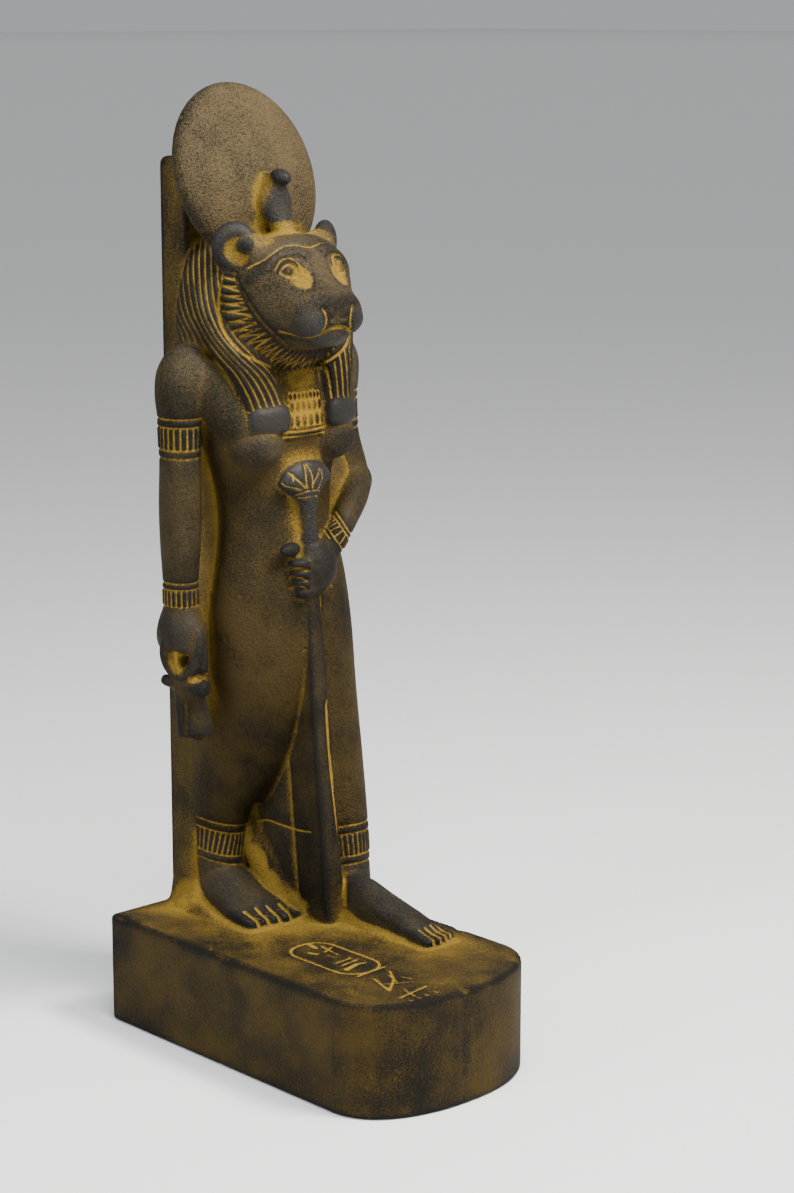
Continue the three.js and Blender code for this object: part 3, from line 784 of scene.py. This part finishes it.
# Casting. All the clay is joined into one skin, which is smoothed, more on flesh and cloth than on edges,
# and then carved: patterns, cut lines, dents and pits, each with the ochre that was rubbed into it.
skin_size = 0.55
pit_count = 260
pit_size = (0.6, 1.3)
pit_depth = (0.15, 0.5)
groove_slope = 0.35
mesh = bpy.data.meshes.new("statue_clay")
clay.to_mesh(mesh)
casting = bpy.data.objects.new("statue_clay", mesh)
bpy.context.scene.collection.objects.link(casting)
skin = casting.modifiers.new("skin", "REMESH")
skin.mode = "VOXEL"
skin.voxel_size = skin_size
shaped = bpy.data.meshes.new_from_object(casting.evaluated_get(bpy.context.evaluated_depsgraph_get()))
bpy.data.objects.remove(casting)
bpy.data.meshes.remove(mesh)
count = len(shaped.vertices)
co = np.empty(count * 3)
shaped.vertices.foreach_get("co", co)
co = co.reshape(-1, 3)
pairs = np.empty(len(shaped.edges) * 2, dtype=np.int64)
shaped.edges.foreach_get("vertices", pairs)
first, second = pairs.reshape(-1, 2).T
neighbours = np.bincount(first, minlength=count) + np.bincount(second, minlength=count)

clay_tree = BVHTree.FromBMesh(clay)
clay.faces.ensure_lookup_table()
labels = [face.material_index for face in clay.faces]
owner = np.array([labels[clay_tree.find_nearest(Vector(point))[2]] for point in co])
clay.free()


def even(values, rounds):
    """Each value drawn towards the mean of its neighbours, again and again."""
    values = np.array(values, float)
    for _ in range(rounds):
        total = [
            np.bincount(first, weights=column[second], minlength=count)
            + np.bincount(second, weights=column[first], minlength=count)
            for column in values.reshape(count, -1).T
        ]
        mean = np.array(total).T / neighbours[:, None]
        values = (0.5 * values.reshape(count, -1) + 0.5 * mean).reshape(values.shape)
    return values


def owned(*names):
    """Which points of the skin belong to the named regions."""
    return np.isin(owner, [regions.index(name) for name in names])


def inside(names, rounds):
    """Soft mask of the named regions, 0 to 1."""
    return even(owned(*names).astype(float), rounds)


def facing():
    """Outward direction of the skin at each point."""
    shaped.vertices.foreach_set("co", co.ravel())
    shaped.update()
    normals = np.empty(count * 3)
    shaped.vertices.foreach_get("normal", normals)
    return normals.reshape(-1, 3)


# Stone that the mould left and rounded parts melt together; the head and the dress are smoothest.
soft_rounds, softer_rounds, softest_rounds = 4, 14, 40
soft = even(co, soft_rounds)
softer = even(soft, softer_rounds)
softest = even(softer, softest_rounds)
melt = inside(("web", "fillet", "slab", "ear", "cobra", "arm", "wig", "chest"), 8)
melt = melt + 0.3 * inside(("hand", "foot"), 8)
co = soft + (softer - soft) * np.clip(melt, 0, 1)[:, None]
flesh = inside(("head", "muzzle", "dress"), 12)
co = co + (softest - co) * np.clip(flesh * 1.4 - 0.4, 0, 1)[:, None]
normals = facing()
surface = BVHTree.FromPolygons([tuple(p) for p in co], [tuple(p.vertices) for p in shaped.polygons])
# The patterns: how far each point rises, and how far it is from a line that holds ochre.
line = np.full(count, far)
ochre = np.zeros(count)
lift = np.zeros(count)
for names, carve in patterns:
    mask = inside(names, 1)
    rise, away = carve(co)
    lift += rise * mask
    line = np.where(mask > 0.5, np.minimum(line, away), line)
co = co + normals * lift[:, None]

# Each cut line is laid on the skin and pressed in along its route.
normals = facing()
lift = np.zeros(count)
for points, wide, deep, painted in cuts:
    route = bend([tuple(spot(*p)) for p in points], 6)[:, :3]
    route = np.array([surface.find_nearest(Vector(p))[0] for p in route])
    reach = wide * 0.5 + 1.2
    near = np.all((co > route.min(0) - reach) & (co < route.max(0) + reach), axis=1)
    chosen = np.nonzero(near)[0]
    nearest = np.full(len(chosen), far)
    for start, end in zip(route, route[1:]):
        span = end - start
        share = np.clip(((co[chosen] - start) @ span) / max(span @ span, 1e-9), 0, 1)
        away = np.linalg.norm(co[chosen] - start - share[:, None] * span, axis=1)
        nearest = np.minimum(nearest, away)
    groove = -deep * np.clip(1 - (nearest / (wide * 0.5 + groove_slope)) ** 2, 0, 1) ** 1.5
    lift[chosen] = np.where(np.abs(groove) > np.abs(lift[chosen]), groove, lift[chosen])
    if painted:
        line[chosen] = np.minimum(line[chosen], nearest - wide * 0.5 + 0.55)
co = co + normals * lift[:, None]

# The soft bumps, dents and washes, and then small casting pits strewn by chance.
normals = facing()
lift = np.zeros(count)
for at, size, rise, painted in swells:
    away = np.linalg.norm((co - np.array(spot(*at))) / np.array(size), axis=1)
    share = np.clip(1 - away**2, 0, 1) ** 1.5
    lift += rise * share
    ochre = np.clip(ochre + painted * np.clip(1.6 * share, 0, 1), 0, 1)
dice = np.random.default_rng(5)
pitted = np.nonzero(owned("disc", "plinth", "dress", "pillar"))[0]
for centre in co[dice.choice(pitted, pit_count)]:
    size = dice.uniform(*pit_size)
    near = np.nonzero(np.all(np.abs(co - centre) < size, axis=1))[0]
    away = np.linalg.norm(co[near] - centre, axis=1) / size
    lift[near] -= dice.uniform(*pit_depth) * np.clip(1 - away**2, 0, 1)
co = co + normals * lift[:, None]

# Signs of handling, and some painted light. How far each place stands out or lies back from the shape around
# it, and which part it belongs to, decides what the hand has rubbed bare, where the grain is pale and where
# the ochre stays; the pale grain also carries painted light and shade by height.
fine_relief = 0.12
broad_relief = 0.7
blend_rounds = 50


def by_region(amounts, otherwise, rounds):
    """An amount for each region, blended over its borders."""
    return even(np.array([amounts.get(regions[number], otherwise) for number in owner]), rounds)


normals = facing()
near_mean = even(co, 8)
wide_mean = even(near_mean, 50)
stand = np.einsum("ij,ij->i", co - near_mean, normals) / fine_relief
stand = stand + np.einsum("ij,ij->i", co - wide_mean, normals) / broad_relief
stand = even(np.clip(stand, -2, 2), 1)
rubbed = {
    "head": 0.55,
    "muzzle": 0.95,
    "ear": 0.75,
    "cobra": 0.9,
    "hand": 0.7,
    "tip": 1.0,
    "flower": 1.0,
    "cross": 0.55,
    "foot": 0.75,
    "ankle": 0.7,
    "shaft": 0.5,
    "slab": 0.75,
    "arm": 0.5,
    "wig": 0.6,
    "mane": 0.6,
    "chest": 0.5,
    "dress": 0.38,
    "disc": 0.25,
}
dusty = {
    "disc": 1.0,
    "head": 0.65,
    "web": 0.6,
    "chest": 0.5,
    "foot": 0.3,
    "wig": 0.25,
    "arm": 0.15,
    "pillar": 0.1,
}
washed = {"web": 0.36, "fillet": 0.35, "collar": 0.3, "pillar": 0.3, "plinth": 0.22, "dress": 0.1}
height = co[:, 2]
bare = by_region(rubbed, 0.05, blend_rounds)
# Painted light and shade in the pale grain: it thins out towards the foot of the disc, a painted shade,
# and lies on the shoulders too, a painted highlight, as if the light fell from above.
dust_and_light = by_region(dusty, 0.0, blend_rounds)
dust_and_light *= np.where(owned("disc"), np.interp(height, (268, 300), (0.45, 1)), 1)
dust_and_light += np.where(owned("arm"), np.interp(height, (215, 232), (0, 0.7)), 0)
# Ochre lies in a part's own hollows, on the plinth's top, and on whatever ground is next to a raised part.
wash = by_region(washed, 0.0, 6)
wash += np.where(owned("plinth"), 0.14 * np.clip(normals[:, 2], 0, 1), 0)
for names, grounds, rounds, strength in (
    (("foot", "shaft", "ankle"), ("plinth", "fillet", "pillar", "slab"), 160, 2.0),
    (("flower", "hand", "tip", "cross"), ("dress", "collar", "web"), 60, 0.95),
    (("tip", "wig"), ("chest",), 16, 1.5),
    (("arm",), ("dress", "web"), 40, 1.0),
    (("cobra", "ear", "head"), ("disc", "wig", "pillar"), 60, 1.7),
    (("wig", "disc", "arm"), ("pillar",), 50, 1.2),
    (("head",), ("mane",), 12, 0.9),
):
    wash = wash + np.where(owned(*grounds), inside(names, rounds) * strength, 0)
wash = even(np.clip(wash + ochre, 0, 1), 2)
line = np.clip(line, -1, 3)
for name, values in (("line", line), ("wash", wash), ("stand", stand), ("bare", bare), ("dust_and_light", dust_and_light)):
    layer = shaped.attributes.new(name, "FLOAT", "POINT")
    layer.data.foreach_set("value", values.astype(np.float32))

# The skin is thinned, and at each point rays are sent out to tell how deep it lies in a hollow.
triangle_budget = 192000
shaped.vertices.foreach_set("co", (co * MM).ravel())
shaped.update()
rough = bpy.data.objects.new("statue_rough", shaped)
bpy.context.scene.collection.objects.link(rough)
thin = rough.modifiers.new("thin", "DECIMATE")
thin.ratio = triangle_budget / (2 * len(shaped.polygons))
final = bpy.data.meshes.new_from_object(rough.evaluated_get(bpy.context.evaluated_depsgraph_get()))
bpy.data.objects.remove(rough)
bpy.data.meshes.remove(shaped)
final.name = "statue_casting"

shade_rays = 10
shade_reach = 11 * MM
skin_gap = 0.25 * MM
spots = np.empty(len(final.vertices) * 3)
final.vertices.foreach_get("co", spots)
spots = spots.reshape(-1, 3)
outward = np.empty(len(final.vertices) * 3)
final.vertices.foreach_get("normal", outward)
outward = outward.reshape(-1, 3)
casting_tree = BVHTree.FromPolygons([tuple(p) for p in spots], [tuple(p.vertices) for p in final.polygons])
shade = np.zeros(len(spots))
origins = spots + outward * skin_gap
for ray in range(shade_rays):
    rise = math.sqrt((ray + 0.5) / shade_rays)
    turn = ray * math.pi * (3 - math.sqrt(5))
    flat = math.sqrt(1 - rise * rise)
    level = np.array([flat * math.cos(turn), flat * math.sin(turn), 0])
    sideways = level - outward * (outward @ level)[:, None]
    sideways = sideways / np.maximum(np.linalg.norm(sideways, axis=1), 1e-6)[:, None]
    aims = outward * rise + sideways * flat
    for number, (origin, aim) in enumerate(zip(origins.tolist(), aims.tolist())):
        reached = casting_tree.ray_cast(origin, aim, shade_reach)[3]
        if reached is not None:
            shade[number] += (1 - reached / shade_reach) / shade_rays
layer = final.attributes.new("shade", "FLOAT", "POINT")
layer.data.foreach_set("value", shade.astype(np.float32))

# Stone and ochre. The cast stone is dark grey-brown and granular, bluish grey where hands have rubbed it,
# the blue partly a painted sheen; yellow ochre pigment lies matt in every recess and thins out to a tan
# grain over the open surfaces, and is painted darker where it lies in shade.
dark_stone = (0.0075, 0.0065, 0.0042, 1)
rubbed_blue_sheen = (0.017, 0.016, 0.0145, 1)
tan_grain = (0.047, 0.0295, 0.006, 1)
pale_grain = (0.078, 0.0555, 0.0245, 1)
dark_and_shaded_ochre = (0.1, 0.066, 0.011, 1)
bright_ochre = (0.225, 0.133, 0.016, 1)
stone = bpy.data.materials.new("cast_stone")
stone.use_nodes = True
stone_nodes = stone.node_tree.nodes
stone_links = stone.node_tree.links
shader = stone_nodes["Principled BSDF"]


class Value:
    """One output of the stone's nodes, which takes plain arithmetic."""

    def __init__(self, socket):
        self.socket = socket

    @staticmethod
    def node(kind, settings, inputs):
        """A new node, with its settings made first and then its inputs set or linked."""
        made = stone_nodes.new(kind)
        for name, value in settings.items():
            setattr(made, name, value)
        for name, value in inputs.items():
            if isinstance(value, Value):
                stone_links.new(value.socket, made.inputs[name])
            else:
                made.inputs[name].default_value = value
        return made

    def math(self, operation, other):
        """This value and another through one Math node."""
        made = Value.node("ShaderNodeMath", {"operation": operation}, {0: self, 1: other})
        return Value(made.outputs[0])

    def __add__(self, other):
        return self.math("ADD", other)

    def __sub__(self, other):
        return self.math("SUBTRACT", other)

    def __mul__(self, other):
        return self.math("MULTIPLY", other)

    def __rsub__(self, other):
        return self * -1.0 + other

    __radd__ = __add__
    __rmul__ = __mul__

    def most(self, other):
        """The larger of two values."""
        return self.math("MAXIMUM", other)

    def step(self, start, end):
        """0 below the start, 1 above the end and a soft passage between them."""
        settings = {"interpolation_type": "SMOOTHSTEP"}
        inputs = {"Value": self, "From Min": start, "From Max": end}
        made = Value.node("ShaderNodeMapRange", settings, inputs)
        return Value(made.outputs["Result"])

    def mix(self, below, above):
        """A colour between two, with this value as the share of the second."""
        inputs = {"Factor": self, 6: below, 7: above}
        made = Value.node("ShaderNodeMix", {"data_type": "RGBA"}, inputs)
        return Value(made.outputs[2])


def layer_of(name):
    """What the casting's attribute of this name says at each point."""
    return Value(Value.node("ShaderNodeAttribute", {"attribute_name": name}, {}).outputs["Fac"])


def noise(scale, detail=3.0, rough=0.55):
    """Cloudy noise about 0.5, fixed to the casting."""
    inputs = {"Vector": grain_place, "Scale": scale, "Detail": detail, "Roughness": rough}
    return Value(Value.node("ShaderNodeTexNoise", {}, inputs).outputs[0])


grain_place = Value(Value.node("ShaderNodeTexCoord", {}, {}).outputs["Object"])
cloud = noise(28, 3)
patch = noise(110, 4)
grain = noise(900, 4, 0.62)
sand = noise(1600, 2, 0.6)
line_at = layer_of("line")
washed_at = layer_of("wash")
stands = layer_of("stand")
bare_at = layer_of("bare")
dust_and_light_at = layer_of("dust_and_light")
shaded = layer_of("shade")

# How much tan grain shows, how bluish the stone is (partly a painted sheen), and where ochre lies: in lines,
# hollows and washes.
speck = grain * 0.25 + sand * 0.75 + (patch - 0.5) * 0.25 + (cloud - 0.5) * (0.85 - dust_and_light_at * 0.5)
tan = (speck + (1 - bare_at) * 0.12 + dust_and_light_at * 0.05 - stands.most(0) * 0.16).step(0.3, 0.75)
# Rubbed places turn a lighter bluish grey: worn stone, and also a painted sheen standing in for highlights.
worn_and_sheen = (bare_at * 0.75 + (cloud - 0.5) * 0.8 + (grain - 0.5) * 0.4).step(0.25, 0.85)
lines = (0.42 - line_at + (grain - 0.5) * 0.3 + (patch - 0.5) * 0.4).step(-0.1, 0.25)
hollow = (shaded * 1.4 - stands * 0.16 + (patch - 0.5) * 0.5 + (grain - 0.5) * 0.3).step(0.42, 0.95)
mottle = (patch - 0.5) * 0.4 + (grain - 0.5) * 0.35 + (sand - 0.5) * 0.9
spread = (washed_at + mottle - stands * 0.1).step(0.25, 1.0)
pigment = lines.most(hollow * 0.85).most(spread * 0.9)
base = worn_and_sheen.mix(dark_stone, rubbed_blue_sheen)
base = (tan * (0.95 - bare_at * 0.4)).mix(base, dust_and_light_at.mix(tan_grain, pale_grain))
# The ochre is painted darker where the skin is shaded by stone close by: painted shade.
rich = (cloud * 0.3 + grain * 0.4 + sand * 0.3 + lines * 0.2 - shaded * 0.3).step(0.22, 0.8)
yellow = rich.mix(dark_and_shaded_ochre, bright_ochre)
colour = pigment.mix(base, yellow)
stone_links.new(colour.socket, shader.inputs["Base Color"])
stone_links.new((0.62 - worn_and_sheen * 0.14 + pigment * 0.26).socket, shader.inputs["Roughness"])
shader.inputs["Specular IOR Level"].default_value = 0.07
stone_links.new((worn_and_sheen * 0.15 * (1 - pigment)).socket, shader.inputs["Coat Weight"])
shader.inputs["Coat Roughness"].default_value = 0.42
relief = grain * 0.5 + sand * 0.5
bump = Value.node("ShaderNodeBump", {}, {"Strength": 1.0, "Distance": 0.0011, "Height": relief})
stone_links.new(bump.outputs[0], shader.inputs["Normal"])
final.materials.clear()
final.materials.append(stone)
final.polygons.foreach_set("material_index", np.zeros(len(final.polygons), dtype=np.int32))
final.polygons.foreach_set("use_smooth", np.ones(len(final.polygons), dtype=bool))
statue = bpy.data.objects.new("statue_casting", final)
bpy.context.scene.collection.objects.link(statue)
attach(statue, "root")
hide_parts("statue")

# Floor. A plain sheet of pale paper that runs far behind the statue, as wide as the ceiling lamp, so that
# its far edge is nearly as light as the ground above it.
floor_half = 30
piece = bmesh.new()
bmesh.ops.create_grid(piece, x_segments=1, y_segments=1, size=floor_half)
sheet = bpy.data.meshes.new("floor")
piece.to_mesh(sheet)
piece.free()
floor = bpy.data.objects.new("floor", sheet)
bpy.context.scene.collection.objects.link(floor)
paper = bpy.data.materials.new("paper")
paper.use_nodes = True
paper.node_tree.nodes["Principled BSDF"].inputs["Base Color"].default_value = (0.76, 0.755, 0.75, 1)
paper.node_tree.nodes["Principled BSDF"].inputs["Roughness"].default_value = 0.9
sheet.materials.append(paper)

# Light. Soft boxes from above, from the upper right, from over the camera and, cooler, from the left, much
# as in the photograph, and a wide lamp high over the whole floor.
lamp_aim = Vector((0, 0, 0.18))
ceiling_height = 8
world = bpy.data.worlds.new("studio")
bpy.context.scene.world = world
world.use_nodes = True
world.node_tree.nodes["Background"].inputs["Color"].default_value = (0.9, 0.92, 0.95, 1)
world.node_tree.nodes["Background"].inputs["Strength"].default_value = 0.45


def softbox(name, place, size, power, colour):
    """A flat lamp of this size that faces the statue's middle."""
    lamp = bpy.data.lights.new(name, "AREA")
    lamp.shape = "RECTANGLE"
    lamp.size, lamp.size_y = size
    lamp.energy = power
    lamp.color = colour
    holder = bpy.data.objects.new(name, lamp)
    holder.location = place
    holder.rotation_euler = (Vector(place) - lamp_aim).to_track_quat("Z", "Y").to_euler()
    bpy.context.scene.collection.objects.link(holder)


softbox("key", (0.22, -0.48, 0.85), (0.26, 0.26), 18, (1, 0.98, 0.95))
softbox("fill", (-0.55, -0.75, 0.75), (0.5, 0.5), 2.5, (1, 0.98, 0.96))
softbox("side", (-1.0, 0.05, 0.55), (0.3, 0.8), 7, (0.84, 0.91, 1))
softbox("top", (-0.1, -0.2, 0.66), (0.25, 0.25), 4.2, (1, 1, 1))
softbox("ceiling", (0, 0, ceiling_height), (2 * floor_half, 2 * floor_half), 1700, (1, 1, 1))

# Camera. At the photograph's place and with its lens, both worked out from the plinth's outline; nothing is
# shifted or out of focus.
azimuth, elevation = math.radians(-43.0768), math.radians(12.1948)
lens = bpy.data.cameras.new("camera")
lens.lens = 82.56
lens.sensor_width = 36
lens.clip_start = 0.05
camera = bpy.data.objects.new("camera", lens)
camera.location = (-0.5958, -0.67235, 0.3535)
camera.rotation_euler = (math.pi / 2 - elevation, 0, azimuth)
bpy.context.scene.collection.objects.link(camera)
bpy.context.scene.camera = camera
